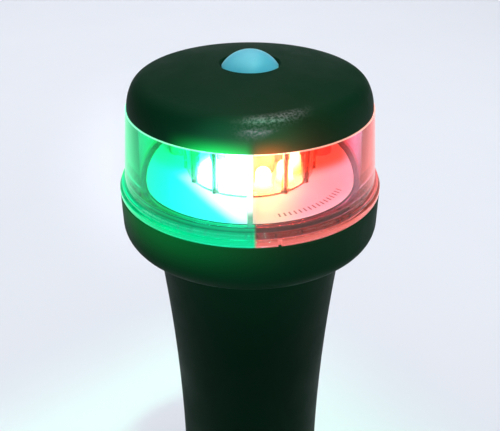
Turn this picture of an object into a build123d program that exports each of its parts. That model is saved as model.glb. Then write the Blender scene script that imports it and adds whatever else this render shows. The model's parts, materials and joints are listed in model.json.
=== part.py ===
from build123d import *
from math import cos, pi, radians, sin
import os

# A hand-held navigation light for a small boat: a black stem holds the batteries, and a head with a
# clear lens screws onto it. The bow is -Y, port (red) is +X and starboard (green) is -X, up is +Z.
# The origin is at the middle of the foot of the base plug. All lengths are in millimetres, and
# bearings are degrees from the bow, growing towards port.

# ---- Driving dimensions ----
FLANGE_RADIUS = 28.0  # the widest part of the light, at the foot of the lens
SPIGOT_RADIUS = 14.0
SPIGOT_HEIGHT = 22.0
SEAM_Z = 100.0  # where the head parts from the stem
BOARD_TOP_Z = SEAM_Z + 2.7
LENS_TOP_Z = SEAM_Z + 18.1
CROWN_Z = SEAM_Z + 26.8
BUTTON_TOP_Z = SEAM_Z + 29.2
WALL = 2.0

CELL_RADIUS = 5.25  # an AAA cell
CELL_LENGTH = 44.5
CELL_NUB = 1.0
THREAD_PITCH = 2.5
THREAD_TURNS = 1.25
RUNNING_GAP = 0.1

# ---- The stem's outline ----
SHOULDER_RADIUS = 17.07
WAIST = (17.94, 54.75)
BOWL_CORNER_RADIUS = 4.42
BOWL_RADIUS = FLANGE_RADIUS - 0.1
BOWL_CORNER_Z = SEAM_Z - 7.11
BOWL_SLOPE = radians(72.4)  # how far the bowl's corner turns from upright
JUNCTION = (20.9, 87.45)
FLOOR_TOP_Z = SPIGOT_HEIGHT + 5.0
NECK_FLOOR_Z = SEAM_Z - 9.4

# ---- The screwed joint ----
NECK_RADIUS = 24.4  # the neck's smooth bore, and the root of its thread
NECK_CREST = 23.2
SKIRT_RADIUS = 22.8  # the root of the head's thread
SKIRT_CREST = 24.0
SKIRT_INNER = SKIRT_RADIUS - 2.2
SKIRT_FOOT_Z = SEAM_Z - 8.6
SEAL_LAND_RADIUS = NECK_RADIUS - 0.3
SEAL_BOTTOM_Z = SEAM_Z - 2.2
SEAL_TOP_Z = SEAM_Z - 0.4
THREAD_START_Z = SEAM_Z - 7.85
RIDGE_HALF_WIDTH = 0.65

# ---- The head ----
LENS_FOOT_RADIUS = 26.9
LENS_TOP_RADIUS = 25.65
LENS_WALL = 1.7
CAP_RIM_RADIUS = LENS_TOP_RADIUS - 0.25  # the lens's top edge stands just proud of the cap
WITNESS_BEARING = 11.7
RIM_RADIUS = 26.8
RIM_TOP_Z = SEAM_Z + 0.7
BOARD_RADIUS = 23.2
BOARD_BOTTOM_Z = BOARD_TOP_Z - 1.6
BOARD_SEAT_RADIUS = BOARD_RADIUS + 0.2  # the lens's inward ledge stands round the board
REBATE_TOP_Z = SEAM_Z + 1.2
PILLAR_RADIUS = 3.0
PILLAR_CIRCLE = 17.5
PILLAR_BEARINGS = (-112.5, 112.5, 180.0)
HEAD_SCREW_RADIUS = 1.4
HEAD_SCREW_HOLE = 1.7
HUB_RADIUS = 5.5
HUB_BORE = 4.4
OPTIC_INNER = 12.4
OPTIC_OUTER = 14.0
LAMP_CIRCLE = 9.5
LAMP_BEARINGS = (16.0, 48.0, 80.0)
WEB_BOTTOM_Z = SEAM_Z - 1.5

# ---- The button ----
BUTTON_RADIUS = 5.75
BUTTON_TRAVEL = 1.0
RETAINER_BOTTOM_Z = LENS_TOP_Z + 0.3
RETAINER_THICKNESS = 1.2
RETAINER_RADIUS = 13.4
RETAINER_TOP_Z = RETAINER_BOTTOM_Z + RETAINER_THICKNESS
RETAINER_CIRCLE = 11.5
RETAINER_BEARINGS = (45.0, 165.0, 285.0)
RETAINER_SCREW_RADIUS = 0.95
ROD_RADIUS = 2.2
SWITCH_TOP_Z = BOARD_TOP_Z + 3.5
PLUNGER_TOP_Z = SWITCH_TOP_Z + 1.5

# ---- The battery cartridge ----
CARTRIDGE_RADIUS = 12.5
CARTRIDGE_TOP_Z = SEAM_Z - 5.0
CARTRIDGE_PLATE = 3.0
CONTACT_THICKNESS = 0.5
CELL_SPACE = 49.5  # between the two contact plates: a cell and its squeezed spring
CELL_CIRCLE = 6.4
CELL_BEARINGS = (0.0, 120.0, 240.0)
RAIL_BEARINGS = (60.0, 180.0, 300.0)
RAIL_CIRCLE = 10.4
RAIL_RADIUS = 1.7
SOCKET_GAP = 0.2

# ---- The plug's screws, which share their circle with the floor's clearance holes ----
PLUG_SCREW_CIRCLE = 8.0
PLUG_SCREW_RADIUS = 1.4
PLUG_SCREW_LENGTH = 17.0

os.makedirs("parts", exist_ok=True)


def place(radius, bearing):
    """The point at this radius and bearing, in plan."""
    return (radius * sin(radians(bearing)), -radius * cos(radians(bearing)))


def around(radius, bearings, z=None):
    """The points at this radius and these bearings, in plan or at a height."""
    return [place(radius, b) if z is None else (*place(radius, b), z) for b in bearings]


def sector(inner, outer, start, end):
    """The face between two radii and two bearings that are less than 180 degrees apart."""
    reach = 3 * outer
    with BuildSketch() as face:
        Circle(outer)
        Circle(inner, mode=Mode.SUBTRACT)
        with BuildLine():
            Polyline((0, 0), *around(reach, (start, (start + end) / 2, end)), close=True)
        make_face(mode=Mode.INTERSECT)
    return face.sketch


def thread_ridge(root, crest, start_z):
    """A right-hand thread's ridge, standing from its root radius to its crest, inwards or outwards."""
    path = Helix(pitch=THREAD_PITCH, height=THREAD_PITCH * THREAD_TURNS, radius=root, center=(0, 0, start_z))
    rise = crest - root
    sunk = -0.2 if rise > 0 else 0.2
    with BuildPart() as ridge:
        with BuildSketch(Plane(origin=path @ 0, x_dir=(1, 0, 0), z_dir=path % 0)):
            with BuildLine():
                Polyline(
                    (sunk, -RIDGE_HALF_WIDTH),
                    (rise, -RIDGE_HALF_WIDTH / 2),
                    (rise, RIDGE_HALF_WIDTH / 2),
                    (sunk, RIDGE_HALF_WIDTH),
                    close=True,
                )
            make_face()
        sweep(path=path, is_frenet=True)
    return ridge.part


def coil(radius, wire_radius, bottom_z, height, turns):
    """A coil spring about the Z axis, its wire's outside filling the height given."""
    rise = height - 2 * wire_radius
    path = Helix(pitch=rise / turns, height=rise, radius=radius, center=(0, 0, bottom_z + wire_radius))
    with BuildPart() as spring:
        with BuildSketch(Plane(origin=path @ 0, z_dir=path % 0)):
            Circle(wire_radius)
        sweep(path=path, is_frenet=True)
    return spring.part


def screws(points, seat_z, head, shank, cross=None):
    """Like screws at these points in plan, whose heads stand away from the seat on the other side
    from their shanks. head and shank are (radius, length), a length below zero pointing down, and
    cross is the driver recess's (span, width, depth)."""
    with BuildPart() as made:
        for radius, length in (head, shank):
            with BuildSketch(Plane.XY.offset(seat_z)):
                with Locations(*points):
                    Circle(radius)
            extrude(amount=length)
        if cross is not None:
            span, width, depth = cross
            with Locations(*[(*point, seat_z + head[1]) for point in points]):
                Box(span, width, 2 * depth, mode=Mode.SUBTRACT)
                Box(width, span, 2 * depth, mode=Mode.SUBTRACT)
    return made


def finish_part(builder, name):
    """Label a finished piece and write it as its own STEP file."""
    builder.part.label = name
    export_step(builder.part, f"parts/{name}.step")


# ---- Stem body: one black moulding, bowl above and tapering stem below, open at the top ----
corner_end = (
    BOWL_RADIUS - BOWL_CORNER_RADIUS * (1 - cos(BOWL_SLOPE)),
    BOWL_CORNER_Z - BOWL_CORNER_RADIUS * sin(BOWL_SLOPE),
)
corner_middle = (
    BOWL_RADIUS - BOWL_CORNER_RADIUS * (1 - cos(BOWL_SLOPE / 2)),
    BOWL_CORNER_Z - BOWL_CORNER_RADIUS * sin(BOWL_SLOPE / 2),
)
stem_thread = thread_ridge(NECK_RADIUS, NECK_CREST, THREAD_START_Z + THREAD_PITCH / 2)
RIB_COUNT = 6
RIB_INNER_RADIUS = CARTRIDGE_RADIUS + 0.7
RIB_DEPTH = 2.8
RIB_THICKNESS = 1.2
RIB_TOP_Z = 84.0
with BuildPart() as stem_body:
    with BuildSketch(Plane.XZ):
        with BuildLine():
            Line((0, SPIGOT_HEIGHT), (SHOULDER_RADIUS, SPIGOT_HEIGHT))
            ThreePointArc((SHOULDER_RADIUS, SPIGOT_HEIGHT), WAIST, JUNCTION)
            Line(JUNCTION, corner_end)
            ThreePointArc(corner_end, corner_middle, (BOWL_RADIUS, BOWL_CORNER_Z))
            Polyline(
                (BOWL_RADIUS, BOWL_CORNER_Z),
                (FLANGE_RADIUS, SEAM_Z - 0.3),
                (FLANGE_RADIUS - 0.3, SEAM_Z),
                (NECK_RADIUS + 0.4, SEAM_Z),
                (NECK_RADIUS, SEAM_Z - 0.4),
                (NECK_RADIUS, NECK_FLOOR_Z),
                (18.4, NECK_FLOOR_Z),
            )
            ThreePointArc((18.4, NECK_FLOOR_Z), (15.75, 58.0), (14.9, FLOOR_TOP_Z))
            Polyline((14.9, FLOOR_TOP_Z), (0, FLOOR_TOP_Z), (0, SPIGOT_HEIGHT))
        make_face()
    revolve(axis=Axis.Z)
    fillet(stem_body.edges().filter_by(GeomType.CIRCLE).filter_by(
        lambda e: abs(e.radius - JUNCTION[0]) < 0.01 and abs(e.center().Z - JUNCTION[1]) < 0.01), 1.6)
    with BuildSketch(Plane.XY.offset(FLOOR_TOP_Z)):
        with PolarLocations(RIB_INNER_RADIUS + RIB_DEPTH / 2, RIB_COUNT, start_angle=30):
            Rectangle(RIB_DEPTH, RIB_THICKNESS)
    extrude(amount=RIB_TOP_Z - FLOOR_TOP_Z)
    with Locations(*around(PLUG_SCREW_CIRCLE, CELL_BEARINGS, FLOOR_TOP_Z)):
        Hole(PLUG_SCREW_RADIUS + 0.2, depth=FLOOR_TOP_Z - SPIGOT_HEIGHT)
    add(stem_thread)
finish_part(stem_body, "stem_body")

# ---- Base plug: the twist-lock spigot that drops into a deck socket ----
SLOT_WIDTH = 4.4
SLOT_DEPTH = 2.0
SLOT_TOP_Z = 10.0
SLOT_TURN = 20.0
slot_half_turn = 9.0  # half the slot's width, in degrees
SEAL_INNER = 11.5
SEAL_OUTER = 13.0
SEAL_DEPTH = 1.2
SEAL_GAP = 0.1
POCKET_CIRCLE = 7.5  # three pockets save material from below
POCKET_RADIUS = 3.4
POCKET_DEPTH = 15.0
with BuildPart() as base_plug:
    with BuildSketch():
        Circle(SPIGOT_RADIUS)
    extrude(amount=SPIGOT_HEIGHT)
    chamfer(base_plug.edges().sort_by(Axis.Z)[0], 0.8)
    for slot_bearing in (90.0, -90.0):
        with BuildSketch():
            with Locations(Location((*place(SPIGOT_RADIUS, slot_bearing), 0), slot_bearing - 90)):
                Rectangle(2 * SLOT_DEPTH, SLOT_WIDTH)
        extrude(amount=SLOT_TOP_Z, mode=Mode.SUBTRACT)
        with BuildSketch(Plane.XY.offset(SLOT_TOP_Z - SLOT_WIDTH)):
            add(sector(SPIGOT_RADIUS - SLOT_DEPTH, SPIGOT_RADIUS + 1, slot_bearing - slot_half_turn,
                       slot_bearing + SLOT_TURN))
        extrude(amount=SLOT_WIDTH, mode=Mode.SUBTRACT)
    with BuildSketch():
        with Locations(*around(POCKET_CIRCLE, RAIL_BEARINGS)):
            Circle(POCKET_RADIUS)
    extrude(amount=POCKET_DEPTH, mode=Mode.SUBTRACT)
    with BuildSketch(Plane.XY.offset(SPIGOT_HEIGHT)):
        Circle(SEAL_OUTER + SEAL_GAP)
        Circle(SEAL_INNER - SEAL_GAP, mode=Mode.SUBTRACT)
    extrude(amount=-SEAL_DEPTH - SEAL_GAP / 2, mode=Mode.SUBTRACT)
    with Locations(*around(PLUG_SCREW_CIRCLE, CELL_BEARINGS, SPIGOT_HEIGHT)):
        Hole(PLUG_SCREW_RADIUS + 0.05, depth=FLOOR_TOP_Z - PLUG_SCREW_LENGTH + 3.0)
finish_part(base_plug, "base_plug")

# ---- Plug seal: a square-section ring in the top of the plug ----
with BuildPart() as plug_seal:
    with BuildSketch(Plane.XY.offset(SPIGOT_HEIGHT - SEAL_DEPTH)):
        Circle(SEAL_OUTER)
        Circle(SEAL_INNER, mode=Mode.SUBTRACT)
    extrude(amount=SEAL_DEPTH)
finish_part(plug_seal, "plug_seal")

# ---- Plug screws: three pan-head screws, from inside the stem down into the plug ----
plug_screws = screws(around(PLUG_SCREW_CIRCLE, CELL_BEARINGS), FLOOR_TOP_Z, head=(2.6, 2.0),
                     shank=(PLUG_SCREW_RADIUS, -PLUG_SCREW_LENGTH), cross=(2.4, 0.7, 0.8))
finish_part(plug_screws, "plug_screws")

# ---- Battery bumper: a foam post that holds the cartridge up against its contacts ----
CARTRIDGE_FOOT_Z = (CARTRIDGE_TOP_Z - CARTRIDGE_PLATE - 2 * CONTACT_THICKNESS - CELL_SPACE
                    - CARTRIDGE_PLATE)
with BuildPart() as battery_bumper:
    with BuildSketch(Plane.XY.offset(FLOOR_TOP_Z)):
        Circle(5.0)
        Circle(2.0, mode=Mode.SUBTRACT)
    extrude(amount=CARTRIDGE_FOOT_Z - FLOOR_TOP_Z - 0.4)
finish_part(battery_bumper, "battery_bumper")

# ---- Head seal: the ring between the head's groove and the neck, at its squeezed section ----
with BuildPart() as head_seal:
    with BuildSketch(Plane.XZ):
        with Locations(((SKIRT_RADIUS + NECK_RADIUS) / 2, (SEAL_BOTTOM_Z + SEAL_TOP_Z) / 2)):
            RectangleRounded(NECK_RADIUS - SKIRT_RADIUS - 0.04, SEAL_TOP_Z - SEAL_BOTTOM_Z - 0.1, 0.6)
    revolve(axis=Axis.Z)
finish_part(head_seal, "head_seal")

# ---- Head base: black ring under the lens, with the screwed skirt and the cartridge's socket ----
SOCKET_INNER = CARTRIDGE_RADIUS + SOCKET_GAP
SOCKET_OUTER = SOCKET_INNER + 1.6
SOCKET_FOOT_Z = SEAM_Z - 9.8
WEB_HOLE = 10.5
LUG_WIDTH = 5.0
LUG_HEIGHT = 1.8
LUG_Z = CARTRIDGE_TOP_Z - CARTRIDGE_PLATE / 2
skirt_thread = thread_ridge(SKIRT_RADIUS, SKIRT_CREST, THREAD_START_Z)
with BuildPart() as head_base:
    with BuildSketch(Plane.XZ):
        with BuildLine():
            Polyline(
                (SKIRT_INNER, SKIRT_FOOT_Z),
                (SKIRT_RADIUS, SKIRT_FOOT_Z),
                (SKIRT_RADIUS, SEAL_BOTTOM_Z - 0.5),
                (SEAL_LAND_RADIUS, SEAL_BOTTOM_Z - 0.5),
                (SEAL_LAND_RADIUS, SEAL_BOTTOM_Z),
                (SKIRT_RADIUS, SEAL_BOTTOM_Z),
                (SKIRT_RADIUS, SEAL_TOP_Z),
                (SEAL_LAND_RADIUS, SEAL_TOP_Z),
                (SEAL_LAND_RADIUS, SEAM_Z),
                (RIM_RADIUS, SEAM_Z),
                (RIM_RADIUS, RIM_TOP_Z),
                (BOARD_RADIUS - 0.2, RIM_TOP_Z),
                (BOARD_RADIUS - 0.2, BOARD_BOTTOM_Z),
                (SKIRT_INNER + 1, BOARD_BOTTOM_Z),
                (SKIRT_INNER + 1, RIM_TOP_Z),
                (WEB_HOLE, RIM_TOP_Z),
                (WEB_HOLE, WEB_BOTTOM_Z),
                (SOCKET_INNER, WEB_BOTTOM_Z),
                (SOCKET_INNER, SOCKET_FOOT_Z),
                (SOCKET_OUTER, SOCKET_FOOT_Z),
                (SOCKET_OUTER, WEB_BOTTOM_Z),
                (SKIRT_INNER, WEB_BOTTOM_Z),
                close=True,
            )
        make_face()
    revolve(axis=Axis.Z)
    add(skirt_thread)
    with Locations((0, 0, LUG_Z)):
        Box(2 * SOCKET_OUTER - 0.8, LUG_WIDTH + SOCKET_GAP, LUG_HEIGHT + SOCKET_GAP, mode=Mode.SUBTRACT)
    with Locations(*around(PILLAR_CIRCLE, PILLAR_BEARINGS, SEAM_Z)):
        Cylinder(HEAD_SCREW_HOLE, 6, mode=Mode.SUBTRACT)
finish_part(head_base, "head_base")

# ---- Lens gasket: a flat ring between the head base and the lens ----
with BuildPart() as lens_gasket:
    with BuildSketch(Plane.XY.offset(RIM_TOP_Z)):
        Circle(RIM_RADIUS - 0.1)
        Circle(BOARD_SEAT_RADIUS + 0.1, mode=Mode.SUBTRACT)
    extrude(amount=REBATE_TOP_Z - RIM_TOP_Z)
finish_part(lens_gasket, "lens_gasket")

# ---- Lens: clear tube, slightly tapered, with a ridged flange at its foot ----
RIDGE_GROOVE_RADIUS = FLANGE_RADIUS - 0.9
UPPER_RIDGE_RADIUS = FLANGE_RADIUS - 0.4
LENS_INNER_TOP = LENS_TOP_RADIUS - LENS_WALL
LENS_INNER_FOOT = LENS_FOOT_RADIUS - 1.9
with BuildPart() as lens:
    with BuildSketch(Plane.XZ):
        with BuildLine():
            Polyline(
                (RIM_RADIUS + 0.05, SEAM_Z),
                (FLANGE_RADIUS - 0.2, SEAM_Z),
                (FLANGE_RADIUS, SEAM_Z + 0.2),
                (FLANGE_RADIUS, SEAM_Z + 1.1),
                (FLANGE_RADIUS - 0.2, SEAM_Z + 1.3),
                (RIDGE_GROOVE_RADIUS, SEAM_Z + 1.3),
                (RIDGE_GROOVE_RADIUS, SEAM_Z + 1.6),
                (UPPER_RIDGE_RADIUS, SEAM_Z + 1.6),
                (UPPER_RIDGE_RADIUS, SEAM_Z + 2.05),
                (UPPER_RIDGE_RADIUS - 0.2, SEAM_Z + 2.25),
                (LENS_FOOT_RADIUS, SEAM_Z + 2.4),
                (LENS_TOP_RADIUS, LENS_TOP_Z),
                (LENS_INNER_TOP, LENS_TOP_Z),
                (LENS_INNER_FOOT, BOARD_TOP_Z),
                (BOARD_SEAT_RADIUS, BOARD_TOP_Z),
                (BOARD_SEAT_RADIUS, REBATE_TOP_Z),
                (RIM_RADIUS + 0.05, REBATE_TOP_Z),
                close=True,
            )
        make_face()
    revolve(axis=Axis.Z)
    # a moulded witness mark across both ridges, to port of the bow
    with Locations(Location((*place(FLANGE_RADIUS, WITNESS_BEARING), SEAM_Z + 1.2), WITNESS_BEARING)):
        Box(0.7, 1.4, 2.4, mode=Mode.SUBTRACT)
finish_part(lens, "lens")

# ---- Top cap: black shell, crowned, with the button's hole and the screw bosses inside ----
CAP_SIDE = (24.76, SEAM_Z + 21.3)
CAP_SHOULDER = (23.21, SEAM_Z + 23.9)
CROWN_MIDDLE = (12.0, CROWN_Z - 0.8)
BUTTON_HOLE = BUTTON_RADIUS + 0.25
BOSS_HEIGHT = 5.2
GASKET_INNER = LENS_TOP_RADIUS - 1.5
GASKET_OUTER = LENS_TOP_RADIUS - 0.8
GASKET_DEPTH = 0.7
with BuildPart() as top_cap:
    with BuildSketch(Plane.XZ):
        with BuildLine():
            Line((0, LENS_TOP_Z), (CAP_RIM_RADIUS, LENS_TOP_Z))
            ThreePointArc((CAP_RIM_RADIUS, LENS_TOP_Z), CAP_SIDE, CAP_SHOULDER)
            ThreePointArc(CAP_SHOULDER, CROWN_MIDDLE, (0, CROWN_Z))
            Line((0, CROWN_Z), (0, LENS_TOP_Z))
        outline = make_face()
        fillet(outline.vertices().sort_by_distance(CAP_SHOULDER)[0], 4.0)
    revolve(axis=Axis.Z)
    with BuildSketch(Plane.XZ):
        with BuildLine():
            Line((0, LENS_TOP_Z), (LENS_TOP_RADIUS - WALL, LENS_TOP_Z))
            ThreePointArc(
                (LENS_TOP_RADIUS - WALL, LENS_TOP_Z),
                (CAP_SIDE[0] - WALL, CAP_SIDE[1] - 0.5),
                (CAP_SHOULDER[0] - WALL - 0.8, CAP_SHOULDER[1] - WALL + 0.4),
            )
            ThreePointArc(
                (CAP_SHOULDER[0] - WALL - 0.8, CAP_SHOULDER[1] - WALL + 0.4),
                (CROWN_MIDDLE[0], CROWN_MIDDLE[1] - WALL),
                (0, CROWN_Z - WALL),
            )
            Line((0, CROWN_Z - WALL), (0, LENS_TOP_Z))
        make_face()
    revolve(axis=Axis.Z, mode=Mode.SUBTRACT)
    # locating lip inside the lens's mouth
    with BuildSketch(Plane.XY.offset(LENS_TOP_Z - 0.6)):
        Circle(LENS_INNER_TOP - 0.15)
        Circle(LENS_INNER_TOP - 1.1, mode=Mode.SUBTRACT)
    extrude(amount=1.2)
    # bosses for the long head screws and for the retainer's screws
    with BuildSketch(Plane.XY.offset(LENS_TOP_Z)):
        with Locations(*around(PILLAR_CIRCLE, PILLAR_BEARINGS)):
            Circle(PILLAR_RADIUS)
    extrude(amount=BOSS_HEIGHT)
    with BuildSketch(Plane.XY.offset(RETAINER_TOP_Z)):
        with Locations(*around(RETAINER_CIRCLE, RETAINER_BEARINGS)):
            Circle(2 * RETAINER_SCREW_RADIUS)
    extrude(amount=BOSS_HEIGHT)
    with BuildSketch(Plane.XY.offset(LENS_TOP_Z)):
        with Locations(*around(PILLAR_CIRCLE, PILLAR_BEARINGS)):
            Circle(HEAD_SCREW_RADIUS + 0.05)
    extrude(amount=BOSS_HEIGHT - 1.2, mode=Mode.SUBTRACT)
    with BuildSketch(Plane.XY.offset(RETAINER_TOP_Z)):
        with Locations(*around(RETAINER_CIRCLE, RETAINER_BEARINGS)):
            Circle(RETAINER_SCREW_RADIUS + 0.05)
    extrude(amount=BOSS_HEIGHT - 1.0, mode=Mode.SUBTRACT)
    with BuildSketch(Plane.XY.offset(LENS_TOP_Z)):
        Circle(GASKET_OUTER)
        Circle(GASKET_INNER, mode=Mode.SUBTRACT)
    extrude(amount=GASKET_DEPTH, mode=Mode.SUBTRACT)
    with Locations((0, 0, CROWN_Z)):
        Cylinder(BUTTON_HOLE, 12, mode=Mode.SUBTRACT)
    crown_edges = top_cap.edges().filter_by_position(Axis.Z, CROWN_Z - 1, CROWN_Z)
    chamfer(crown_edges.filter_by(lambda e: e.is_closed), 0.35)
finish_part(top_cap, "top_cap")

# ---- Cap gasket: a thin ring in the cap's rim, on the lens's top edge ----
with BuildPart() as cap_gasket:
    with BuildSketch(Plane.XY.offset(LENS_TOP_Z)):
        Circle(GASKET_OUTER - 0.05)
        Circle(GASKET_INNER + 0.05, mode=Mode.SUBTRACT)
    extrude(amount=GASKET_DEPTH - 0.05)
finish_part(cap_gasket, "cap_gasket")

# ---- LED board: white round circuit board, clamped between the head base and the baffle ----
with BuildPart() as led_board:
    with BuildSketch(Plane.XY.offset(BOARD_BOTTOM_Z)):
        Circle(BOARD_RADIUS)
        with Locations(*around(PILLAR_CIRCLE, PILLAR_BEARINGS)):
            Circle(HEAD_SCREW_HOLE, mode=Mode.SUBTRACT)
    extrude(amount=BOARD_TOP_Z - BOARD_BOTTOM_Z)
finish_part(led_board, "led_board")

# ---- Lamps: three round LEDs on each side, each a flanged body with a domed top ----
LAMP_RADIUS = 1.55
LAMP_FLANGE = 1.9
LAMP_FLANGE_HEIGHT = 0.9
LAMP_HEIGHT = 4.6
with BuildPart() as one_lamp:
    with BuildSketch(Plane.XZ):
        with BuildLine():
            Polyline(
                (0, 0),
                (LAMP_FLANGE, 0),
                (LAMP_FLANGE, LAMP_FLANGE_HEIGHT),
                (LAMP_RADIUS, LAMP_FLANGE_HEIGHT),
                (LAMP_RADIUS, LAMP_HEIGHT - LAMP_RADIUS),
            )
            ThreePointArc(
                (LAMP_RADIUS, LAMP_HEIGHT - LAMP_RADIUS),
                (LAMP_RADIUS * cos(pi / 4), LAMP_HEIGHT - LAMP_RADIUS * (1 - sin(pi / 4))),
                (0, LAMP_HEIGHT),
            )
            Line((0, LAMP_HEIGHT), (0, 0))
        make_face()
    revolve(axis=Axis.Z)
for side, lamps_name in ((-1, "green_leds"), (1, "red_leds")):
    with BuildPart() as lamps:
        with Locations(*around(LAMP_CIRCLE, [side * b for b in LAMP_BEARINGS], BOARD_TOP_Z)):
            add(one_lamp.part)
    finish_part(lamps, lamps_name)

# ---- Inner optic: a clear half-ring on each side of the divider, with upright ribs outside ----
OPTIC_TOP_Z = LENS_TOP_Z - 1.1
OPTIC_START = 2.8
OPTIC_END = 107.0
OPTIC_RIB_BEARINGS = (31.0, 57.0, 83.0)
for side, optic_name in ((-1, "optic_starboard"), (1, "optic_port")):
    ends = sorted((side * OPTIC_START, side * OPTIC_END))
    ring_face = sector(OPTIC_INNER, OPTIC_OUTER, *ends)
    with BuildPart() as optic:
        with BuildSketch(Plane.XY.offset(BOARD_TOP_Z)):
            add(ring_face)
            for b in OPTIC_RIB_BEARINGS:
                with Locations(Location((*place(OPTIC_OUTER, side * b), 0), side * b - 90)):
                    Rectangle(1.2, 0.8)
        extrude(amount=OPTIC_TOP_Z - BOARD_TOP_Z)
    finish_part(optic, optic_name)

# ---- Sector baffle: hub, bow divider and rear walls, which keep each colour in its own sector ----
WALL_TOP_Z = LENS_TOP_Z - 1.1
HUB_TOP_Z = LENS_TOP_Z - 0.2
PILLAR_TOP_Z = LENS_TOP_Z - 0.1
REAR_WALL = 1.6
BOW_DIVIDER = 1.0
with BuildPart() as sector_baffle:
    with BuildSketch(Plane.XY.offset(BOARD_TOP_Z)):
        Circle(HUB_RADIUS)
    extrude(amount=HUB_TOP_Z - BOARD_TOP_Z)
    with BuildSketch(Plane.XY.offset(BOARD_TOP_Z)):
        for b in PILLAR_BEARINGS:
            with Locations(Location((*place(PILLAR_CIRCLE / 2, b), 0), b - 90)):
                Rectangle(PILLAR_CIRCLE, REAR_WALL)
    extrude(amount=WALL_TOP_Z - BOARD_TOP_Z)
    with BuildSketch(Plane.XY.offset(BOARD_TOP_Z)):
        with Locations(*around(PILLAR_CIRCLE, PILLAR_BEARINGS)):
            Circle(PILLAR_RADIUS)
    extrude(amount=PILLAR_TOP_Z - BOARD_TOP_Z)
    # the divider's outer edge leans in with the lens
    with BuildSketch(Plane.YZ):
        with BuildLine():
            Polyline(
                (0, BOARD_TOP_Z),
                (0.3 - LENS_INNER_FOOT, BOARD_TOP_Z),
                (0.3 - LENS_INNER_TOP, WALL_TOP_Z),
                (0, WALL_TOP_Z),
                close=True,
            )
        make_face()
    extrude(amount=BOW_DIVIDER / 2, both=True)
    with BuildSketch(Plane.XY.offset(BOARD_TOP_Z)):
        Circle(HUB_BORE)
        with Locations(*around(PILLAR_CIRCLE, PILLAR_BEARINGS)):
            Circle(HEAD_SCREW_HOLE)
    extrude(amount=LENS_TOP_Z - BOARD_TOP_Z, mode=Mode.SUBTRACT)
finish_part(sector_baffle, "sector_baffle")

# ---- Head screws: three long screws that clamp head base, board, baffle and cap together ----
head_screws = screws(around(PILLAR_CIRCLE, PILLAR_BEARINGS), WEB_BOTTOM_Z, head=(2.7, -2.0),
                     shank=(HEAD_SCREW_RADIUS, LENS_TOP_Z + 3.5 - WEB_BOTTOM_Z), cross=(2.6, 0.8, 0.9))
finish_part(head_screws, "head_screws")

# ---- Switch: a square tactile switch inside the hub, and its plunger ----
PLUNGER_RADIUS = 1.7
PLUNGER_TRAVEL = 0.25
PLUNGER_SUNK = 0.4
with BuildPart() as switch_body:
    with BuildSketch(Plane.XY.offset(BOARD_TOP_Z)):
        Rectangle(6.0, 6.0)
    extrude(amount=SWITCH_TOP_Z - BOARD_TOP_Z)
    with Locations((0, 0, SWITCH_TOP_Z)):
        Hole(PLUNGER_RADIUS + RUNNING_GAP / 2, depth=PLUNGER_SUNK + PLUNGER_TRAVEL + 0.1)
finish_part(switch_body, "switch_body")
with BuildPart() as switch_plunger:
    with BuildSketch(Plane.XY.offset(SWITCH_TOP_Z - PLUNGER_SUNK)):
        Circle(PLUNGER_RADIUS)
    extrude(amount=PLUNGER_TOP_Z - SWITCH_TOP_Z + PLUNGER_SUNK)
    fillet(switch_plunger.edges().sort_by(Axis.Z)[-1], 0.25)
finish_part(switch_plunger, "switch_plunger")

# ---- Under the board: driver chip, resistors and the two sprung battery contacts ----
with BuildPart() as driver_chip:
    with BuildSketch(Plane.XY.offset(BOARD_BOTTOM_Z)):
        with Locations((0, -5.0)):
            Rectangle(5.0, 4.0)
    extrude(amount=-1.5)
finish_part(driver_chip, "driver_chip")
with BuildPart() as board_resistors:
    with BuildSketch(Plane.XY.offset(BOARD_BOTTOM_Z)):
        with GridLocations(2.6, 0, 3, 1):
            Rectangle(1.25, 2.0)
    extrude(amount=-0.6)
finish_part(board_resistors, "board_resistors")
CONTACT_X = 6.0
CONTACT_Y = 3.0
RIVET_HEIGHT = 0.5
RIVET_TOP_Z = CARTRIDGE_TOP_Z + RIVET_HEIGHT
contact_coil = coil(1.8, 0.3, RIVET_TOP_Z, BOARD_BOTTOM_Z - RIVET_TOP_Z, 4)
with BuildPart() as board_contacts:
    with Locations((-CONTACT_X, CONTACT_Y, 0), (CONTACT_X, CONTACT_Y, 0)):
        add(contact_coil)
finish_part(board_contacts, "board_contacts")

# ---- Button: a blue silicone dome with a flange that keeps it inside the cap ----
FLANGE_TOP_Z = CROWN_Z - WALL - 0.45
BUTTON_FOOT_Z = FLANGE_TOP_Z - 1.1
BUTTON_FLANGE_RADIUS = 7.6
FLANGE_GAP = 0.3
BOOT_RADIUS = 9.4
DOME_RISE = 3.1
DOME_RADIUS = (BUTTON_RADIUS**2 + DOME_RISE**2) / (2 * DOME_RISE)
DOME_FOOT = (BUTTON_RADIUS, BUTTON_TOP_Z - DOME_RISE)
dome_middle_x = BUTTON_RADIUS / 2
dome_middle_z = BUTTON_TOP_Z - DOME_RADIUS + (DOME_RADIUS**2 - dome_middle_x**2) ** 0.5
with BuildPart() as button:
    with BuildSketch(Plane.XZ):
        with BuildLine():
            Polyline(
                (0, BUTTON_FOOT_Z),
                (BUTTON_FLANGE_RADIUS, BUTTON_FOOT_Z),
                (BUTTON_FLANGE_RADIUS, FLANGE_TOP_Z),
                (BUTTON_RADIUS, FLANGE_TOP_Z),
                DOME_FOOT,
            )
            ThreePointArc(DOME_FOOT, (dome_middle_x, dome_middle_z), (0, BUTTON_TOP_Z))
            Line((0, BUTTON_TOP_Z), (0, BUTTON_FOOT_Z))
        make_face()
    revolve(axis=Axis.Z)
finish_part(button, "button")

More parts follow.
